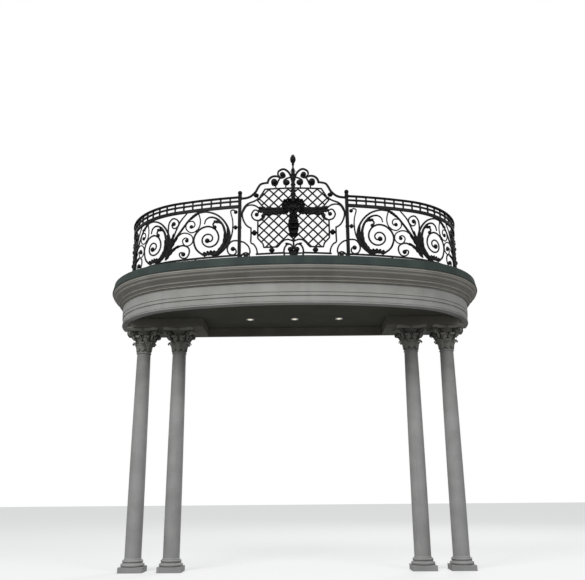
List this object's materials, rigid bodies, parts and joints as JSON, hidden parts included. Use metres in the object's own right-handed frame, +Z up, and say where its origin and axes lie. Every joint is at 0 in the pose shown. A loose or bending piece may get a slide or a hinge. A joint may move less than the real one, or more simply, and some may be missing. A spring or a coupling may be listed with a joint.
{
  "type": "bowed balcony on columns",
  "caption": "Bowed balcony with a moulded cornice, a scrolled wrought-iron railing with a crested lattice panel, and paired Corinthian columns under it.",
  "frame": {"origin": "on the flat wall face, at the middle of the balcony's width, level with the underside of the metal edge band", "axes": "+X along the wall to the right seen from outside, +Y into the wall, +Z up; the balcony stands out towards -Y"},
  "size_m": [5.97, 1.8698, 6.009],
  "materials": {
    "black_iron": "satin",
    "edge_metal": "satin",
    "warm_stone": "matte",
    "pale_render": "matte",
    "column_stone": "matte",
    "deck_stone": "matte",
    "ceiling_render": "matte",
    "light_rim": "satin"
  },
  "bodies": {
    "root": {"slab_core": "warm_stone", "deck_finish": "deck_stone", "edge_band": "edge_metal", "cornice_crown": "warm_stone", "fascia": "pale_render", "architrave": "pale_render", "ceiling": "ceiling_render", "ceiling_light_left": "light_rim", "ceiling_light_centre": "light_rim", "ceiling_light_right": "light_rim", "drop_block_left": "warm_stone", "drop_block_right": "warm_stone", "wall_beam": "warm_stone", "base_outer_left": "column_stone", "base_inner_left": "column_stone", "base_inner_right": "column_stone", "base_outer_right": "column_stone", "shaft_outer_left": "column_stone", "shaft_inner_left": "column_stone", "shaft_inner_right": "column_stone", "shaft_outer_right": "column_stone", "capital_outer_left": "column_stone", "capital_inner_left": "column_stone", "capital_inner_right": "column_stone", "capital_outer_right": "column_stone", "frieze_left": "black_iron", "frieze_right": "black_iron", "bottom_rail_left": "black_iron", "bottom_rail_right": "black_iron", "scrolls_left_first": "black_iron", "scrolls_left_middle": "black_iron", "scrolls_left_last": "black_iron", "scrolls_right_first": "black_iron", "scrolls_right_middle": "black_iron", "scrolls_right_last": "black_iron", "post_left": "black_iron", "post_right": "black_iron", "wall_post_left": "black_iron", "wall_post_right": "black_iron", "panel_frame": "black_iron", "lattice": "black_iron", "side_rings": "black_iron", "crest_scrolls": "black_iron", "foot_scrolls": "black_iron", "leaf_cluster": "black_iron", "finial": "black_iron"}
  },
  "joints": []
}
